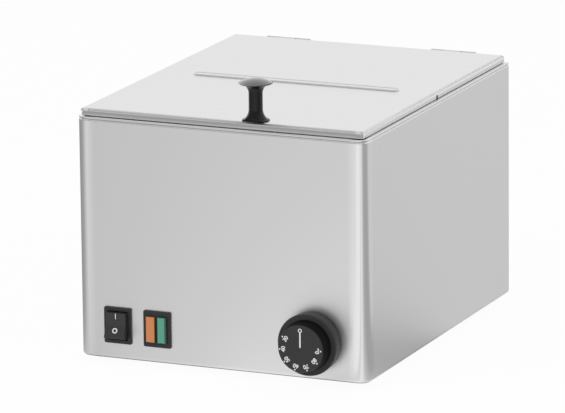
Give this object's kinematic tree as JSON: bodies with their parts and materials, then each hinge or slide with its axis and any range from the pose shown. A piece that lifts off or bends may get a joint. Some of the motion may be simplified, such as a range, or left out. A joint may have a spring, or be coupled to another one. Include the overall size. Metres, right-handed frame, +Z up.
{
  "type": "sausage warmer",
  "caption": "Countertop steel sausage warmer with a deep heated water basin, perforated basket, hinged lid, rocker switch, twin lamp and thermostat dial.",
  "frame": {"origin": "on the bench under the middle of the whole object", "axes": "+Z up, +X to the right seen from the front, +Y from the control panel to the back"},
  "size_m": [0.285, 0.4004, 0.2767],
  "materials": {
    "steel": "fine vertical brushing",
    "lid_steel": "fine brushing, left to right",
    "basin_steel": "drawn, satin",
    "basket_steel": "satin",
    "fastener_steel": "plated",
    "element_steel": "dull sheath",
    "black_plastic": "smooth moulded",
    "rocker_plastic": "smooth moulded",
    "amber_plastic": "clear tinted",
    "green_plastic": "clear tinted",
    "neon_glass": "clear",
    "gland_plastic": "moulded",
    "cream_plastic": "moulded",
    "cutout_plastic": "moulded phenolic",
    "foot_rubber": "matt",
    "fibre_mat": "needled fibre mat",
    "copper": "bright tube",
    "brass": "bright"
  },
  "bodies": {
    "case": {"amber_lens": "amber_plastic", "base_plate": "steel", "base_screws": "fastener_steel", "basket_corners": "basket_steel", "basket_divider": "basket_steel", "basket_feet": "basket_steel", "basket_handles": "basket_steel", "bulb_clip": "fastener_steel", "cable_gland": "gland_plastic", "casing_shell": "steel", "clamp_plate": "fastener_steel", "divider_guides": "basket_steel", "earth_nut": "brass", "earth_stud": "brass", "element_pins": "fastener_steel", "foot_nuts": "fastener_steel", "foot_screws": "fastener_steel", "gland_nut": "gland_plastic", "green_lens": "green_plastic", "heater_nuts": "fastener_steel", "heater_studs": "fastener_steel", "heating_element": "element_steel", "hinge_case_leaves": "fastener_steel", "hinge_pins": "fastener_steel", "hinge_rivets": "fastener_steel", "insulation_jacket": "fibre_mat", "lamp_blades": "brass", "lamp_housing": "black_plastic", "lamp_neons": "neon_glass", "perforated_basket": "basket_steel", "rear_panel": "steel", "rear_panel_screws": "fastener_steel", "rubber_feet": "foot_rubber", "safety_cutout": "cutout_plastic", "sensor_bulb": "copper", "switch_blades": "brass", "switch_housing": "black_plastic", "terminal_block": "cream_plastic", "terminal_screws": "brass", "thermostat_blades": "brass", "thermostat_body": "cream_plastic", "thermostat_plate": "fastener_steel", "thermostat_screws": "fastener_steel", "top_deck": "steel", "water_basin": "basin_steel"},
    "lid": {"lid_panel": "lid_steel", "lid_knob": "black_plastic", "lid_knob_washer": "fastener_steel", "lid_knob_screw": "fastener_steel", "hinge_lid_leaves": "fastener_steel"},
    "dial": {"thermostat_dial": "black_plastic", "thermostat_shaft": "fastener_steel"},
    "rocker": {"switch_rocker": "rocker_plastic"}
  },
  "joints": [
    {"name": "lid_hinge", "type": "hinge", "parent": "case", "child": "lid", "pos_m": [0, 0.1846, 0.2341], "axis": [-1, 0, 0], "range_deg": [0, 100]},
    {"name": "dial_turn", "type": "hinge", "parent": "case", "child": "dial", "pos_m": [0.0899, -0.1708, 0.0415], "axis": [0, 1, 0], "range_deg": [0, 267]},
    {"name": "rocker_tilt", "type": "hinge", "parent": "case", "child": "rocker", "pos_m": [-0.103, -0.17069, 0.0381], "axis": [1, 0, 0], "range_deg": [0, 22]}
  ]
}
